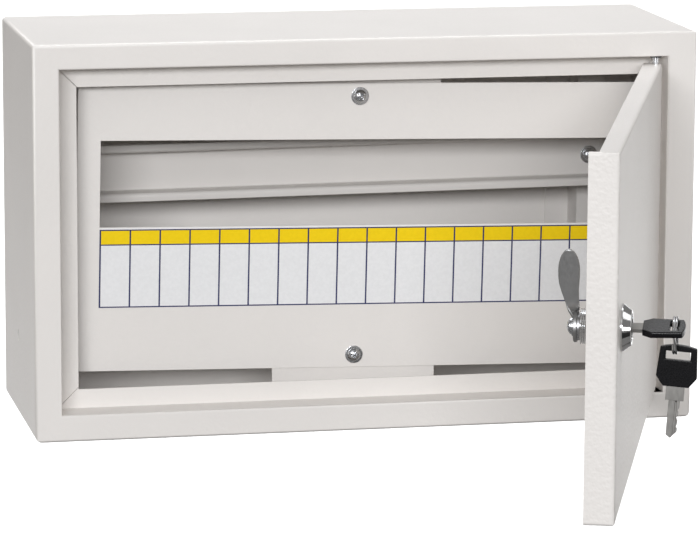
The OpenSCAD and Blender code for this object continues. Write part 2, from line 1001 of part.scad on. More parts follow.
module second_key_blade() {
    color(steel) at_second_key() blade_body();
}

module second_key_bow() {
    color(black) at_second_key() bow_body();
}

housing_shell();
rear_panel();
left_upright();
right_upright();
left_rail_riser();
right_rail_riser();
mounting_rail();
rail_screws();
rail_nuts();
upper_cover_bracket();
lower_cover_bracket();
cover_plate();
circuit_label();
cover_screws();
cover_nuts();
cable_grommets();
blanking_plugs();
side_plug();
earth_stud();
earth_nut();
hinge_bushes();
door_panel();
upper_hinge_pin();
lower_hinge_pin();
lock_barrel();
lock_washer();
lock_nut();
lock_plug();
cam_lever();
cam_washer();
cam_screw();
key_blade();
key_bow();
key_ring();
second_key_blade();
second_key_bow();
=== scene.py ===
"""Looks of a wall-mounted switchgear enclosure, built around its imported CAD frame.

Everything is in metres and in the CAD frame: +X right, +Y into the wall, +Z up.
"""

import json
import math

import bmesh
import bpy
from mathutils import Matrix, Vector


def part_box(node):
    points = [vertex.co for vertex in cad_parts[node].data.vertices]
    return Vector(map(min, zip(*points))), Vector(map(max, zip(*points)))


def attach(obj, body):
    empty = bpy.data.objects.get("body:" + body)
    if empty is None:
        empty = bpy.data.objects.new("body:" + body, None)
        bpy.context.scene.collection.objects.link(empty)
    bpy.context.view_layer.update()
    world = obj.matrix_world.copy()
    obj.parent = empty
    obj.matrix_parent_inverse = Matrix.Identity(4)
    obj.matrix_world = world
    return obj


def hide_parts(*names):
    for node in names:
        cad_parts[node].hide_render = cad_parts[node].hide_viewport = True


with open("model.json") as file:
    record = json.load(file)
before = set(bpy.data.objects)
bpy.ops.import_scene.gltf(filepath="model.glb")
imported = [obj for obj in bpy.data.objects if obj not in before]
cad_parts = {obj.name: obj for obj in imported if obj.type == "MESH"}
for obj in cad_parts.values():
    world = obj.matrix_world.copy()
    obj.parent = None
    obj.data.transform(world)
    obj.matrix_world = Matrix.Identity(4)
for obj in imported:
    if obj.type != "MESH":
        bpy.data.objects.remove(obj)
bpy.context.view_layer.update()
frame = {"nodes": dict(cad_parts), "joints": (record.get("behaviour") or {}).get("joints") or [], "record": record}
record = frame["record"]
MM = 0.001

BODY_OF = {node: body for body, nodes in record["behaviour"]["bodies"].items() for node in nodes}
SLOT_OF = {part["node"]: part["material_slot"] for part in record["subparts"]}
JOINTS = {joint["name"]: joint for joint in frame["joints"]}


# --- Materials ---


def new_material(name):
    """A material with an empty node tree, its shader and its object coordinates."""
    material = bpy.data.materials.new(name)
    material.use_nodes = True
    nodes = material.node_tree.nodes
    nodes.clear()
    output = nodes.new("ShaderNodeOutputMaterial")
    shader = nodes.new("ShaderNodeBsdfPrincipled")
    material.node_tree.links.new(shader.outputs["BSDF"], output.inputs["Surface"])
    place = nodes.new("ShaderNodeTexCoord")
    return material, shader, place.outputs["Object"]


def noise(material, place, scale, detail=2.0, roughness=0.5, stretch=(1, 1, 1)):
    """A noise texture in the piece's own coordinates; scale is in cycles per metre."""
    nodes, links = material.node_tree.nodes, material.node_tree.links
    mapping = nodes.new("ShaderNodeMapping")
    mapping.inputs["Scale"].default_value = stretch
    links.new(place, mapping.inputs["Vector"])
    texture = nodes.new("ShaderNodeTexNoise")
    texture.inputs["Scale"].default_value = scale
    texture.inputs["Detail"].default_value = detail
    texture.inputs["Roughness"].default_value = roughness
    links.new(mapping.outputs["Vector"], texture.inputs["Vector"])
    return texture.outputs["Fac"]


def remap(material, value, low, high):
    """Maps the usual range of a noise value to the range from low to high."""
    node = material.node_tree.nodes.new("ShaderNodeMapRange")
    node.inputs["From Min"].default_value = 0.3
    node.inputs["From Max"].default_value = 0.7
    node.inputs["To Min"].default_value = low
    node.inputs["To Max"].default_value = high
    material.node_tree.links.new(value, node.inputs["Value"])
    return node.outputs["Result"]


def two_colours(material, value, dark, light):
    """Blends two colours by a noise value."""
    ramp = material.node_tree.nodes.new("ShaderNodeValToRGB")
    ramp.color_ramp.elements[0].position = 0.35
    ramp.color_ramp.elements[0].color = (*dark, 1)
    ramp.color_ramp.elements[1].position = 0.65
    ramp.color_ramp.elements[1].color = (*light, 1)
    material.node_tree.links.new(value, ramp.inputs["Fac"])
    return ramp.outputs["Color"]


def bump(material, shader, value, height, strength=1.0, under=None):
    """Raises the surface by up to height metres where value is 1."""
    node = material.node_tree.nodes.new("ShaderNodeBump")
    node.inputs["Distance"].default_value = height
    node.inputs["Strength"].default_value = strength
    material.node_tree.links.new(value, node.inputs["Height"])
    if under is not None:
        material.node_tree.links.new(under, node.inputs["Normal"])
    material.node_tree.links.new(node.outputs["Normal"], shader.inputs["Normal"])
    return node.outputs["Normal"]


def shaded(colour, factor):
    """A colour made darker or lighter by a factor."""
    return tuple(channel * factor for channel in colour)


def powder_coat(name, colour, gloss=0.36, peel=1.4):
    """Baked powder paint on sheet steel: slow shade changes and a fine orange peel. gloss is roughness."""
    material, shader, place = new_material(name)
    slow = noise(material, place, 14, detail=3)
    tint = two_colours(material, slow, shaded(colour, 0.975), colour)
    material.node_tree.links.new(tint, shader.inputs["Base Color"])
    fine = noise(material, place, 620, detail=2, roughness=0.6)
    waves = noise(material, place, 380, detail=1)
    links = material.node_tree.links
    links.new(remap(material, fine, gloss - 0.05, gloss + 0.06), shader.inputs["Roughness"])
    under = bump(material, shader, waves, 0.00012 * peel, 0.8)
    bump(material, shader, fine, 0.00005 * peel, 0.55, under)
    shader.inputs["Specular IOR Level"].default_value = 0.42
    return material


def bare_metal(name, colour, roughness, scratch=(1, 1, 1), marks=0.06, lumps=0.0):
    """Plated or polished metal with fine tool marks and slightly uneven polish."""
    material, shader, place = new_material(name)
    cloud = noise(material, place, 260, detail=3)
    tint = two_colours(material, cloud, shaded(colour, 0.94), colour)
    links = material.node_tree.links
    links.new(tint, shader.inputs["Base Color"])
    shader.inputs["Metallic"].default_value = 1.0
    lines = noise(material, place, 2400, detail=3, roughness=0.65, stretch=scratch)
    links.new(remap(material, lines, roughness - marks, roughness + marks), shader.inputs["Roughness"])
    under = None
    if lumps:
        under = bump(material, shader, cloud, lumps, 0.6)
    bump(material, shader, lines, 0.00002, 0.35, under)
    return material


def moulded(name, colour, roughness, grain=3000):
    """Moulded plastic or rubber with a fine spark-eroded grain."""
    material, shader, place = new_material(name)
    cloud = noise(material, place, 180, detail=3)
    tint = two_colours(material, cloud, shaded(colour, 0.85), shaded(colour, 1.1))
    links = material.node_tree.links
    links.new(tint, shader.inputs["Base Color"])
    fine = noise(material, place, grain, detail=2)
    links.new(remap(material, fine, roughness - 0.06, roughness + 0.06), shader.inputs["Roughness"])
    bump(material, shader, fine, 0.00002, 0.5)
    shader.inputs["Specular IOR Level"].default_value = 0.3
    return material


def printed(name, colour):
    """Screen-printed vinyl: even ink with a faint mottle."""
    material, shader, place = new_material(name)
    mottle = noise(material, place, 500, detail=3)
    tint = two_colours(material, mottle, shaded(colour, 0.96), colour)
    links = material.node_tree.links
    links.new(tint, shader.inputs["Base Color"])
    links.new(remap(material, mottle, 0.36, 0.44), shader.inputs["Roughness"])
    slow = noise(material, place, 40, detail=1)
    bump(material, shader, slow, 0.0001, 0.3)
    shader.inputs["Specular IOR Level"].default_value = 0.25
    return material


PAINT = (0.80, 0.767, 0.737)
MATERIALS = {
    "paint_housing": powder_coat("housing_paint", PAINT),
    "paint_fittings": powder_coat("fittings_paint", shaded(PAINT, 0.94), 0.5),
    # The rail's paint is the housing paint darkened to 0.85: painted shade that stands in for the cover plate's
    # shadow on the rail.
    "paint_rail": powder_coat("rail_paint_painted_shade", shaded(PAINT, 0.85), 0.45, 0.7),
    "paint_cover": powder_coat("cover_paint", PAINT, 0.4),
    "paint_door": powder_coat("door_paint", PAINT, 0.38, 3.2),
    "zinc_plate": bare_metal("bright_zinc", (0.66, 0.67, 0.69), 0.24, marks=0.08),
    "entry_rubber": moulded("entry_rubber", (0.035, 0.035, 0.037), 0.62),
    "plug_plastic": moulded("plug_plastic", (0.74, 0.73, 0.70), 0.45),
    "bush_nylon": moulded("bush_nylon", (0.03, 0.03, 0.032), 0.4),
    "lock_chrome": bare_metal("polished_chrome", (0.80, 0.81, 0.82), 0.09, marks=0.03, lumps=0.00002),
    "cylinder_steel": bare_metal("cast_cylinder", (0.56, 0.56, 0.57), 0.3, marks=0.08),
    "lever_steel": bare_metal("satin_lever", (0.42, 0.42, 0.42), 0.40, (1, 1, 0.08), 0.08),
    "key_nickel": bare_metal("nickelled_brass", (0.35, 0.34, 0.325), 0.38, (1, 1, 0.1), 0.08),
    "key_plastic": moulded("key_plastic", (0.0035, 0.0035, 0.0045), 0.27, 2200),
    "ring_steel": bare_metal("spring_wire", (0.62, 0.62, 0.63), 0.2),
}
LABEL_MATERIALS = {
    "paper": printed("label_paper", (0.83, 0.83, 0.82)),
    "cell": printed("label_cell", (0.83, 0.829, 0.835)),
    "yellow": printed("label_yellow", (0.93, 0.65, 0.002)),
    "navy": printed("label_navy", (0.035, 0.038, 0.12)),
}


# --- Mesh helpers ---


def finish_piece(obj, node, materials=None):
    """Gives a piece its material and lets it stand for a CAD node."""
    for material in materials or [MATERIALS[SLOT_OF[node]]]:
        obj.data.materials.append(material)
    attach(obj, BODY_OF[node])
    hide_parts(node)


def shade(obj, angle):
    """Smooth shading with sharp edges past an angle, and normals that keep flat faces flat."""
    for polygon in obj.data.polygons:
        polygon.use_smooth = True
    obj.data.set_sharp_from_angle(angle=math.radians(angle))
    weighted = obj.modifiers.new("weighted_normals", "WEIGHTED_NORMAL")
    weighted.keep_sharp = True


def piece_from(bm, node, place=None, angle=35.0, materials=None):
    """Makes a piece from a bmesh, in place of a CAD node; edges past the angle stay sharp."""
    if place is not None:
        bmesh.ops.transform(bm, matrix=place, verts=bm.verts)
    bmesh.ops.recalc_face_normals(bm, faces=bm.faces)
    mesh = bpy.data.meshes.new(node + "_finished")
    bm.to_mesh(mesh)
    bm.free()
    obj = bpy.data.objects.new(node + "_finished", mesh)
    bpy.context.scene.collection.objects.link(obj)
    shade(obj, angle)
    finish_piece(obj, node, materials)


def cad_copy(node):
    """A clean bmesh of a CAD node: doubled points merged and flat faces joined."""
    bm = bmesh.new()
    bm.from_mesh(frame["nodes"][node].data)
    bmesh.ops.remove_doubles(bm, verts=bm.verts, dist=2e-6)
    bmesh.ops.dissolve_limit(
        bm, angle_limit=math.radians(0.5), verts=bm.verts, edges=bm.edges, use_dissolve_boundaries=False
    )
    return bm


def sharp_edges(bm, angle, wanted=None):
    """Edges whose faces meet at more than an angle, in degrees."""
    limit = math.radians(angle)
    found = []
    for edge in bm.edges:
        if not edge.is_manifold or edge.calc_face_angle(0) < limit:
            continue
        if wanted is None or wanted(edge):
            found.append(edge)
    return found


def round_edges(bm, edges, width, segments):
    """Bevels edges round by width metres."""
    bmesh.ops.bevel(
        bm, geom=edges, offset=width, offset_type="OFFSET", segments=segments, profile=0.5,
        affect="EDGES", clamp_overlap=False, loop_slide=True,
    )


def rounded_copy(node, width, segments=2, angle=40.0):
    """The CAD node with every sharp edge rounded by width metres."""
    bm = cad_copy(node)
    round_edges(bm, sharp_edges(bm, angle), width, segments)
    piece_from(bm, node)


def revolved(bm, profile, place, steps, surface=None):
    """Revolves (radius, height) points about Z; a radius of 0 closes the end, surface displaces points."""
    rings = []
    for radius, height in profile:
        if radius == 0:
            rings.append([bm.verts.new((0, 0, height))])
            continue
        ring = []
        for i in range(steps):
            a = 2 * math.pi * i / steps
            r, z = (radius, height) if surface is None else surface(radius, height, a)
            ring.append(bm.verts.new((r * math.cos(a), r * math.sin(a), z)))
        rings.append(ring)
    for lower, upper in zip(rings, rings[1:]):
        for i in range(steps):
            j = (i + 1) % steps
            if len(lower) == 1:
                bm.faces.new((lower[0], upper[i], upper[j]))
            elif len(upper) == 1:
                bm.faces.new((lower[i], lower[j], upper[0]))
            else:
                bm.faces.new((lower[i], lower[j], upper[j], upper[i]))
    made = [v for ring in rings for v in ring]
    if place is not None:
        bmesh.ops.transform(bm, matrix=place, verts=made)


def arc(cx, cy, radius, start, end, steps):
    """Points along an arc, with its angles in degrees."""
    points = []
    for i in range(steps + 1):
        a = math.radians(start + (end - start) * i / steps)
        points.append((cx + radius * math.cos(a), cy + radius * math.sin(a)))
    return points


def lofted(bm, sections):
    """Joins closed sections of equal length, and caps the two ends."""
    rings = [[bm.verts.new(p) for p in section] for section in sections]
    count = len(rings[0])
    for lower, upper in zip(rings, rings[1:]):
        for i in range(count):
            j = (i + 1) % count
            bm.faces.new((lower[i], lower[j], upper[j], upper[i]))
    bm.faces.new(list(reversed(rings[0])))
    bm.faces.new(rings[-1])


def frame_at(origin, x_axis, y_axis, z_axis):
    """Matrix of a frame with its origin and its three axes."""
    rows = [[x_axis[i], y_axis[i], z_axis[i], origin[i]] for i in range(3)]
    return Matrix([*rows, [0, 0, 0, 1]])


def smooth_step(t):
    """Eases from 0 to 1 as t goes from 0 to 1, and stays there on both sides."""
    c = min(max(t, 0.0), 1.0)
    return c * c * (3 - 2 * c)


# --- Places, read from the frame ---

UP = Vector((0, 0, 1))
LOCK_AXIS = Vector(JOINTS["lock_turn"]["axis"])
LOCK_PLACE = frame_at(Vector(JOINTS["lock_turn"]["pos_m"]), UP.cross(LOCK_AXIS), UP, LOCK_AXIS)
KEY_TURN = math.radians(-JOINTS["lock_turn"]["range_deg"][0])
CYLINDER_PLACE = LOCK_PLACE @ Matrix.Rotation(KEY_TURN, 4, "Z")

# The cover and the rail sit slightly out of level, as in CAD
COVER_SKEW = math.radians(1.15)
RAIL_SKEW = math.radians(-0.4)


def skewed_place(node, skew):
    """Centre frame and true size of a piece that is turned about Y: X right, Y back, Z up."""
    low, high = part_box(node)
    wide, tall = high.x - low.x, high.z - low.z
    sine, cosine = math.sin(abs(skew)), math.cos(skew)
    spread = cosine**2 - sine**2
    width = (wide * cosine - tall * sine) / spread
    height = (tall * cosine - wide * sine) / spread
    centre = Vector(((low.x + high.x) / 2, low.y, (low.z + high.z) / 2))
    place = Matrix.Translation(centre) @ Matrix.Rotation(skew, 4, "Y")
    return place, width, high.y - low.y, height


# --- Pieces ---


def housing_shell():
    """Folded shell: soft bends round the door opening, and slightly rounded sheet edges."""
    bm = cad_copy("housing_shell")
    low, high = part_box("housing_shell")
    inside = 12 * MM
    front_zone = 3 * MM

    def at_opening(edge):
        flat = all(abs(v.co.y - low.y) < 1e-5 for v in edge.verts)
        clear = all(
            low.x + inside < v.co.x < high.x - inside and low.z + inside < v.co.z < high.z - inside
            for v in edge.verts
        )
        return flat and clear

    round_edges(bm, sharp_edges(bm, 40, at_opening), 1.3 * MM, 6)

    def elsewhere(edge):
        return not all(v.co.y < low.y + front_zone for v in edge.verts)

    round_edges(bm, sharp_edges(bm, 50, elsewhere), 0.12 * MM, 2)
    piece_from(bm, "housing_shell")


def rectangle_cells(across, down):
    """The label's rectangles between printed lines, from lists of (end, kind) steps."""
    cells = []
    left = across[0]
    for right, column in across[1:]:
        top = down[0]
        for bottom, row in down[1:]:
            kind = row
            if column == "line" and row != "paper":
                kind = "navy"
            cells.append((left, right, top, bottom, kind))
            top = bottom
        left = right
    return cells


def circuit_label():
    """Printed strip: a yellow head band over one white cell for each module."""
    place, width, thick, height = skewed_place("circuit_label", COVER_SKEW)
    pitch, line, thin = 18 * MM, 0.95 * MM, 0.75 * MM
    margin, band = 1.0 * MM, 8.1 * MM
    across = [-width / 2, (-width / 2 + line, "line")]
    right = -width / 2 + line / 2
    while right + pitch + line / 2 < width / 2 - 2 * MM:
        right += pitch
        across.append((right - line / 2, "cell"))
        across.append((right + line / 2, "line"))
    across.append((width / 2 - line, "cell"))
    across.append((width / 2, "line"))
    top = height / 2
    rows = [top, (top - margin, "paper"), (top - margin - thin, "navy")]
    rows.append((top - margin - thin - band, "yellow"))
    rows.append((top - margin - 2 * thin - band, "navy"))
    rows.append((-top + thin, "cell"))
    rows.append((-top, "navy"))
    names = list(LABEL_MATERIALS)
    bm = bmesh.new()
    for x0, x1, z1, z0, kind in rectangle_cells(across, rows):
        corners = [(x0, 0, z0), (x1, 0, z0), (x1, 0, z1), (x0, 0, z1)]
        face = bm.faces.new([bm.verts.new(c) for c in corners])
        face.material_index = names.index(kind)
    bmesh.ops.remove_doubles(bm, verts=bm.verts, dist=1e-6)
    rim = [e for e in bm.edges if e.is_boundary]
    side = bmesh.ops.extrude_edge_only(bm, edges=rim)["geom"]
    back = [v for v in side if isinstance(v, bmesh.types.BMVert)]
    bmesh.ops.translate(bm, vec=(0, thick, 0), verts=back)
    bmesh.ops.contextual_create(bm, geom=[e for e in bm.edges if e.is_boundary])
    piece_from(bm, "circuit_label", place, materials=list(LABEL_MATERIALS.values()))


def cross_depth(x, y, half_span, half_slot):
    """How deep a cross recess is at a point, from 0 outside it to 1 in the middle."""
    deepest = 0.0
    for a, b in ((x, y), (y, x)):
        along = 1 - smooth_step((abs(a) - half_span * 0.55) / (half_span * 0.45))
        over = 1 - smooth_step((abs(b) - half_slot * 0.6) / (half_slot * 0.5))
        deepest = max(deepest, along * over)
    return deepest


def pan_screw(bm, place, flange, flange_t, dome, dome_h, shank, length):
    """Screw with a flanged pan head, a cross recess and a thread."""
    ball = dome * 1.35
    drop = ball - dome_h
    rim = dome * 0.97
    recess = 1.5 * MM
    thread_depth = 0.35 * MM

    def head(radius, height, angle):
        x, y = radius * math.cos(angle), radius * math.sin(angle)
        cut = cross_depth(x, y, dome * 0.6, 0.55 * MM)
        return radius, height - cut * recess

    rings = 26
    profile = [(0, flange_t + dome_h - recess)]
    for i in range(1, rings + 1):
        radius = rim * i / rings
        profile.append((radius, flange_t - drop + math.sqrt(ball**2 - radius**2)))
    revolved(bm, profile, place, 144, head)
    edge = profile[-1][1]
    skirt = [(rim, edge), (dome, edge - 0.1 * MM), (dome, flange_t + 0.15 * MM)]
    skirt += [(dome + 0.15 * MM, flange_t)]
    skirt += arc(flange - 0.25 * MM, flange_t - 0.25 * MM, 0.25 * MM, 90, 0, 4)
    skirt += [(flange, 0.05 * MM), (flange - 0.05 * MM, 0), (shank, 0)]
    revolved(bm, skirt, place, 144)
    pitch = 0.7 * MM
    steps = int(length / (pitch / 6))

    def thread(radius, height, angle):
        turn = (height / pitch + angle / (2 * math.pi)) % 1.0
        return radius - thread_depth * abs(2 * turn - 1), height

    stem = [(shank, -length * i / steps) for i in range(steps)]
    revolved(bm, stem, place, 36, thread)
    tip = [(shank - thread_depth, -length + 0.1 * MM), (shank - 0.5 * MM, -length), (0, -length)]
    revolved(bm, tip, place, 36)


def screw_pair(node, flange, flange_t, dome, dome_h, shank, length, turn):
    """The two screws of a node, a flange's radius inside its box."""
    low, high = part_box(node)
    centre = (low + high) / 2
    half = (high - low) / 2
    face = high.y - length
    bm = bmesh.new()
    for side in (-1, 1):
        x = centre.x + side * (half.x - flange)
        z = centre.z + side * (half.z - flange)
        place = frame_at(Vector((x, face, z)), Vector((1, 0, 0)), UP, Vector((0, -1, 0)))
        place = place @ Matrix.Rotation(math.radians(turn + 25 * side), 4, "Z")
        pan_screw(bm, place, flange, flange_t, dome, dome_h, shank, length)
    bmesh.ops.remove_doubles(bm, verts=bm.verts, dist=2e-6)
    piece_from(bm, node)


def lock_barrel():
    """Chromed bezel with a bright rim, and a threaded barrel behind it."""
    low, bore, thread_r = -21.5, 6.05, 9.5
    mouth, mouth_floor = 7.6, 2.5
    tail = [(bore, low + 0.3), (bore + 0.3, low), (9.0, low)]
    bm = bmesh.new()
    front = [(9.1, 0.0), (12.5, 0.0)]
    front += arc(12.5, 0.2, 0.2, 270, 360, 3)
    front += arc(12.35, 0.85, 0.35, 0, 45, 4)
    front += [(9.45 + 3.1 * (1 - i / 8), 1.15 + 4.0 * i / 8) for i in range(9)]
    front += arc(9.15, 5.1, 0.4, 30, 90, 4)
    front += [(mouth + 0.3, 5.5), (mouth + 0.08, 5.42), (mouth, 5.2), (mouth, mouth_floor)]
    front += [(bore, mouth_floor), (bore, 0), (bore, low + 0.3)]
    revolved(bm, [(r * MM, z * MM) for r, z in front], None, 128)
    revolved(bm, [(r * MM, z * MM) for r, z in tail], None, 128)
    pitch = 1.0 * MM

    def thread(radius, height, angle):
        turn = (height / pitch + angle / (2 * math.pi)) % 1.0
        fade = min(1.0, (height / MM - low) / 0.6, -height / MM / 0.6)
        return radius - 0.45 * MM * abs(2 * turn - 1) * max(fade, 0.0), height

    steps = 129
    stem = [(thread_r * MM, low * MM * (1 - i / steps)) for i in range(steps + 1)]
    revolved(bm, stem, None, 96, thread)
    piece_from(bm, "lock_barrel", LOCK_PLACE, 40)


def lever_width(s):
    """Width of the lever in mm at s mm from the lock axis: a slow flare, then a rounded end."""
    if s < 31:
        return 7 + 4.4 * smooth_step((s - 10) / 19)
    return 11.4 * math.sqrt(max(1 - ((s - 31) / 11.7) ** 2, 0.003))


def lever_section(s, hub_front, hub_t, thick):
    """Rounded strip section at a distance s from the lock axis, turned by the lever's twist."""
    half_w, half_t = lever_width(s) / 2, thick / 2
    twist_start, twist_length = 3.5, 11.5
    twist = math.radians(90 * smooth_step((s - twist_start) / twist_length))
    depth = hub_front - hub_t / 2 - 3.5 * smooth_step(s / 26)
    corner = min(0.35, half_t * 0.9, half_w * 0.9)
    outline = []
    for cx, cy, start in ((1, 1, 0), (-1, 1, 90), (-1, -1, 180), (1, -1, 270)):
        outline += arc(cx * (half_w - corner), cy * (half_t - corner), corner, start, start + 90, 3)
    section = []
    for across, through in outline:
        x = across * math.cos(twist) - through * math.sin(twist)
        z = depth + across * math.sin(twist) + through * math.cos(twist)
        section.append((x * MM, s * MM, z * MM))
    return section


def cam_lever():
    """Pressed steel lever: a twisted blade from a round hub with a square hole."""
    hub_front, hub_t, hub_r, thick = -23.2, 2.0, 8.5, 1.8
    bm = bmesh.new()
    stations = 64
    start, end = 5.6, 42.7
    sections = []
    for i in range(stations + 1):
        s = start + (end - start) * math.sin(math.pi / 2 * i / stations)
        sections.append(lever_section(s, hub_front, hub_t, thick))
    lofted(bm, sections)
    # The hub's section runs from the square hole, half its side, out to the round rim and back
    half = 4.0
    edge = 0.3
    rings = []
    levels = [(half, 0, hub_front - hub_t), (hub_r - edge, 1, hub_front - hub_t)]
    levels += [(hub_r, 1, hub_front - hub_t + edge), (hub_r, 1, hub_front - edge)]
    levels += [(hub_r - edge, 1, hub_front), (half, 0, hub_front)]
    steps = 96
    for size, is_round, z in levels:
        ring = []
        for i in range(steps):
            a = 2 * math.pi * (i + 0.5) / steps
            c, s = math.cos(a), math.sin(a)
            r = size if is_round else size / max(abs(c), abs(s))
            ring.append(bm.verts.new((r * c * MM, r * s * MM, z * MM)))
        rings.append(ring)
    rings.append(rings[0])
    for lower, upper in zip(rings, rings[1:]):
        for i in range(steps):
            j = (i + 1) % steps
            bm.faces.new((lower[i], lower[j], upper[j], upper[i]))
    piece_from(bm, "cam_lever", CYLINDER_PLACE, 40)


def cam_screw():
    """Domed screw that holds the lever and its washer on the lock's tail."""
    seat = -26.2 * MM
    bm = bmesh.new()
    place = Matrix.Translation((0, 0, seat)) @ Matrix.Rotation(math.pi, 4, "X")
    pan_screw(bm, place, 4.5 * MM, 0.5 * MM, 4.2 * MM, 2.3 * MM, 1.6 * MM, 4.4 * MM)
    piece_from(bm, "cam_screw", CYLINDER_PLACE)


# Cut edge of both keys in mm: distance from the shoulder, and from the blade's centre line
BLADE_EDGE = [
    (0.0, 3.0), (3.6, 3.0), (5.4, 2.1), (6.4, 2.7), (8.0, 2.6), (9.4, 1.7), (10.8, 2.6),
    (12.6, 2.5), (14.2, 1.9), (15.2, 2.8), (16.8, 2.6), (18.6, 0.9), (20.2, -0.4),
]


def edge_at(distance):
    """How far the cut edge is from the centre line, at a distance from the shoulder."""
    for (d0, w0), (d1, w1) in zip(BLADE_EDGE, BLADE_EDGE[1:]):
        if distance <= d1:
            return w0 + (w1 - w0) * (distance - d0) / (d1 - d0)
    return BLADE_EDGE[-1][1]


def blade_section(z, left, right, groove):
    """Closed section of the blade: two milled grooves on opposite faces."""
    half = 1.0
    rim = 0.15
    top = [(left, half - rim), (left + rim, half)]
    for x, depth in ((-1.7, 0), (-1.5, 0.5), (-0.7, 0.5), (-0.5, 0)):
        top.append((min(max(x, left + rim), right - rim), half - depth * groove))
    top += [(right - rim, half), (right, half - rim)]
    bottom = [(right, -half + rim), (right - rim, -half)]
    for x, depth in ((1.6, 0), (1.4, 0.45), (0.5, 0.45), (0.3, 0)):
        bottom.append((min(max(x, left + rim), right - rim), -half + depth * groove))
    bottom += [(left + rim, -half), (left, -half + rim)]
    return [(x * MM, y * MM, z * MM) for x, y in top + bottom]


def key_blade(node, place):
    """Key blank with a broad shoulder, two grooves and its cut edge."""
    shoulder, length, tang = 7.6, 20.2, 6.0
    bm = bmesh.new()
    body = [blade_section(z, -4.85, 4.85, 0.0) for z in (0.02, -0.1, -shoulder + 0.15)]
    body.append([(x * 0.985, y * 0.92, z - 0.00015) for x, y, z in body[-1]])
    lofted(bm, body)
    lofted(bm, [blade_section(z, -3.0, 3.0, 0.0) for z in (tang - 0.05, 0.0)])
    stations = 100
    sections = []
    for i in range(stations + 1):
        d = (length - 0.02) * i / stations
        left = -3.0 + 2.0 * max(0.0, (d - (length - 1.5)) / 1.5)
        groove = smooth_step((d + 0.2) / 0.8)
        sections.append(blade_section(-shoulder - d, left, max(edge_at(d), left + 0.6), groove))
    lofted(bm, sections)
    piece_from(bm, node, place, 30)


RING_WIRE = 0.75 * MM


def key_ring():
    """Split ring: one wire wound nearly twice, with its turns lying side by side."""
    low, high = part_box("key_ring")
    centre = (low + high) / 2
    outer = (high.z - low.z) / 2
    radius = outer - RING_WIRE
    gap = 0.7 * MM
    place = frame_at(centre, UP.cross(LOCK_AXIS), UP, LOCK_AXIS)
    turns, steps, sides = 1.93, 190, 14
    bm = bmesh.new()
    sections = []
    for i in range(steps + 1):
        t = i / steps
        a = math.radians(200) + 2 * math.pi * turns * t
        cross = smooth_step((t - 0.40) / 0.2)
        along = gap * (2 * cross - 1)
        end = min(1.0, min(t, 1 - t) * steps / 3 + 0.45)
        section = []
        for k in range(sides):
            b = 2 * math.pi * k / sides
            r = radius + RING_WIRE * end * math.cos(b)
            section.append((r * math.cos(a), r * math.sin(a), along + RING_WIRE * end * math.sin(b)))
        sections.append(section)
    lofted(bm, sections)
    piece_from(bm, "key_ring", place, 50)


def second_key_place():
    """Frame of the hanging key, worked out from the swing joint's pivot and the ring's box."""
    lean = math.radians(4.0)
    slot_play, slot_end, shoulder_end, slip = 0.35 * MM, 3.4 * MM, 22.4 * MM, 1.8 * MM
    pivot = Vector(JOINTS["second_key_swing"]["pos_m"])
    low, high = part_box("key_ring")
    wire = Vector((pivot.x, pivot.y, low.z + RING_WIRE))
    side = UP.cross(LOCK_AXIS)
    tilt = Matrix.Rotation(lean, 4, side)
    down = tilt @ UP
    across = tilt @ LOCK_AXIS
    origin = wire + down * (RING_WIRE + slot_play + slot_end - shoulder_end) + across * slip
    return frame_at(origin, across, side, down)


def folded_rail():
    """Top-hat rail with rounded bends."""
    place, length, back, height = skewed_place("mounting_rail", RAIL_SKEW)
    half, wall, sheet, bend = height / 2, 13.5 * MM, 1.2 * MM, 1.0 * MM
    outer = bend + sheet
    # From the middle of the channel's inner face, round the bends and back along the outer face.
    # The lips are at depth 0.
    upper = [(back - sheet, 0.0)]
    upper += arc(back - sheet - bend, wall - sheet - bend, bend, 0, 90, 6)
    upper += arc(outer, wall - sheet + outer, outer, 270, 180, 8)
    upper += arc(sheet / 2, half - sheet / 2, sheet / 2, 180, 0, 6)
    upper += arc(outer, wall + bend, bend, 180, 270, 6)
    upper += arc(back - outer, wall - outer, outer, 90, 0, 8)
    upper += [(back, 0.0)]
    lower = [(y, -z) for y, z in reversed(upper)][1:-1]
    outline = upper + lower
    bm = bmesh.new()
    lofted(bm, [[(x, y, z) for y, z in outline] for x in (-length / 2, length / 2)])
    piece_from(bm, "mounting_rail", place, 30)


housing_shell()
for sheet_node in ("rear_panel", "left_upright", "right_upright", "left_rail_riser", "right_rail_riser"):
    rounded_copy(sheet_node, 0.25 * MM)
for sheet_node in ("upper_cover_bracket", "lower_cover_bracket", "cover_plate", "door_panel"):
    rounded_copy(sheet_node, 0.15 * MM)
folded_rail()
circuit_label()
screw_pair("cover_screws", 5.4 * MM, 0.8 * MM, 3.8 * MM, 2.4 * MM, 2 * MM, 12 * MM, 20)
screw_pair("rail_screws", 5.5 * MM, 1.0 * MM, 3.8 * MM, 2.4 * MM, 2 * MM, 10 * MM, 35)
lock_barrel()
cam_lever()
cam_screw()
key_blade("key_blade", CYLINDER_PLACE @ Matrix.Translation((0, 0, 11.2 * MM)))
key_blade("second_key_blade", second_key_place())
key_ring()
for bow_node in ("key_bow", "second_key_bow"):
    rounded_copy(bow_node, 0.35 * MM, 3, 25)
for small_node in ("rail_nuts", "cover_nuts", "earth_nut", "lock_nut", "cam_washer"):
    rounded_copy(small_node, 0.2 * MM)
for small_node in ("lock_washer", "lock_plug", "earth_stud", "hinge_bushes", "side_plug"):
    rounded_copy(small_node, 0.12 * MM)
for small_node in ("upper_hinge_pin", "lower_hinge_pin", "cable_grommets", "blanking_plugs"):
    rounded_copy(small_node, 0.25 * MM)


# --- Studio ---


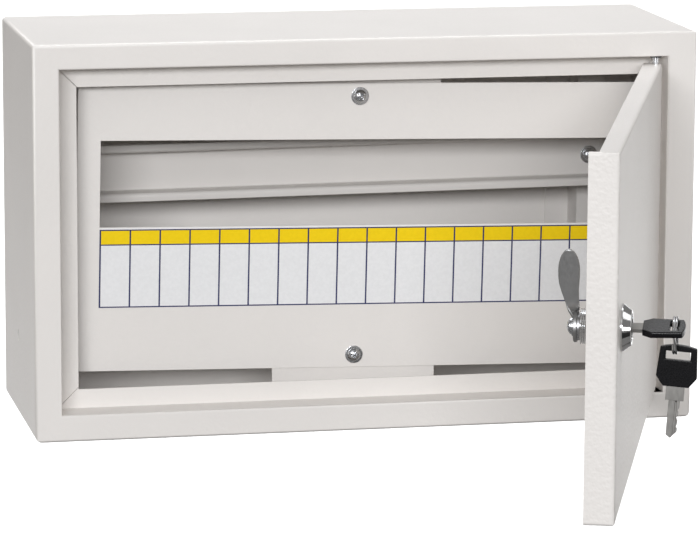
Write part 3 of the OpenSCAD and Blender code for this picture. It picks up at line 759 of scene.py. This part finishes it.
def stage_sheet(name, corners, material_name, mottle_scale, dark, light, roughness, specular):
    """A flat sheet of the studio, with a matt and faintly mottled surface."""
    bm = bmesh.new()
    bm.faces.new([bm.verts.new(c) for c in corners])
    mesh = bpy.data.meshes.new(name)
    bm.to_mesh(mesh)
    bm.free()
    sheet = bpy.data.objects.new(name, mesh)
    bpy.context.scene.collection.objects.link(sheet)
    material, shader, place = new_material(material_name)
    tint = two_colours(material, noise(material, place, mottle_scale), dark, light)
    material.node_tree.links.new(tint, shader.inputs["Base Color"])
    shader.inputs["Roughness"].default_value = roughness
    shader.inputs["Specular IOR Level"].default_value = specular
    sheet.data.materials.append(material)
    return sheet


def studio_floor():
    """Plain pale floor that starts behind the wall-hung object and lies well below it."""
    left, right, front, back, height = -0.9, 3.4, 0.75, 7.5, -0.5
    corners = [(left, front, height), (right, front, height), (right, back, height), (left, back, height)]
    stage_sheet("floor", corners, "floor_paper", 3, (0.86, 0.86, 0.86), (0.87, 0.87, 0.87), 0.9, 0.1)


def softbox(name, position, target, width, height, power, colour=(1, 1, 1)):
    """Rectangular area light aimed at a point; power is in watts."""
    light = bpy.data.lights.new(name, "AREA")
    light.shape = "RECTANGLE"
    light.size = width
    light.size_y = height
    light.energy = power
    light.color = colour
    obj = bpy.data.objects.new(name, light)
    bpy.context.scene.collection.objects.link(obj)
    obj.location = position
    aim = Vector(target) - Vector(position)
    obj.rotation_euler = aim.to_track_quat("-Z", "Y").to_euler()


def studio_lights():
    """Soft light from the front, with weaker ones for the top, the sides, the lock and the floor."""
    world = bpy.data.worlds.new("studio")
    world.use_nodes = True
    background = world.node_tree.nodes["Background"]
    background.inputs["Color"].default_value = (1.0, 0.98, 0.96, 1)
    background.inputs["Strength"].default_value = 0.2
    bpy.context.scene.world = world
    cool, warm = (0.985, 1.0, 1.02), (1.0, 0.975, 0.95)
    softbox("front_light", (-1.45, -4.75, 1.24), (0, -0.12, 0), 3.4, 0.8, 183.0, cool)
    softbox("high_light", (-0.5, -1.9, 1.45), (0, -0.12, 0), 1.6, 0.9, 3.4, cool)
    softbox("top_strip", (0.1, 0.05, 1.3), (0.05, -0.07, 0.1), 1.6, 0.2, 8.2, cool)
    softbox("back_light", (-0.1, 0.6, 1.1), (0, -0.05, 0.1), 1.4, 0.8, 5.5, cool)
    softbox("backdrop_light", (0.3, 3.2, 1.1), (0, -0.3, 0.1), 4.5, 1.6, 6.0, cool)
    softbox("right_light", (1.6, -0.45, 0.05), (0.1, -0.4, 0), 0.8, 0.8, 3.2, warm)
    softbox("bezel_strip", (1.25, -1.5, -0.05), (0.08, -0.45, 0), 0.5, 0.3, 1.4)
    softbox("bezel_panel", (1.22, -0.63, 0.98), (0.08, -0.45, 0), 0.8, 0.6, 1.7)
    softbox("left_light", (-1.5, -0.2, 0.2), (-0.2, -0.1, 0), 0.8, 0.8, 3.0, warm)
    softbox("floor_light", (1.0, 3.6, 0.2), (1.0, 3.6, -0.5), 3.2, 5.0, 90.0)


def black_card():
    """Dark flag low on the right, which puts the dark band on the chromed bezel."""
    near, far = Vector((0.62, -0.95, -0.49)), Vector((0.94, -1.25, -0.30))
    side = Vector((0.67, 0.72, 0)) * 0.6
    corners = [near - side, near + side, far + side, far - side]
    dark, light = (0.006, 0.006, 0.006), (0.012, 0.012, 0.012)
    card = stage_sheet("black_card", corners, "black_felt", 400, dark, light, 0.95, 0.5)
    card.visible_camera = False


def camera():
    """Long lens from the upper left."""
    eye = Vector((-0.50619, -2.50959, 0.42027))
    yaw, pitch, roll = math.radians(11.793), math.radians(10.288), math.radians(-0.239)
    forward = Vector((math.sin(yaw) * math.cos(pitch), math.cos(yaw) * math.cos(pitch), -math.sin(pitch)))
    level = Vector((math.cos(yaw), -math.sin(yaw), 0))
    down = forward.cross(level)
    right = math.cos(roll) * level + math.sin(roll) * down
    below = -math.sin(roll) * level + math.cos(roll) * down
    data = bpy.data.cameras.new("camera")
    data.sensor_width = 36
    data.lens = 213.25
    data.clip_end = 50
    obj = bpy.data.objects.new("camera", data)
    bpy.context.scene.collection.objects.link(obj)
    obj.matrix_world = frame_at(eye, right, -below, -forward)
    bpy.context.scene.camera = obj


studio_floor()
black_card()
studio_lights()
camera()
bpy.context.scene.view_settings.view_transform = "Standard"
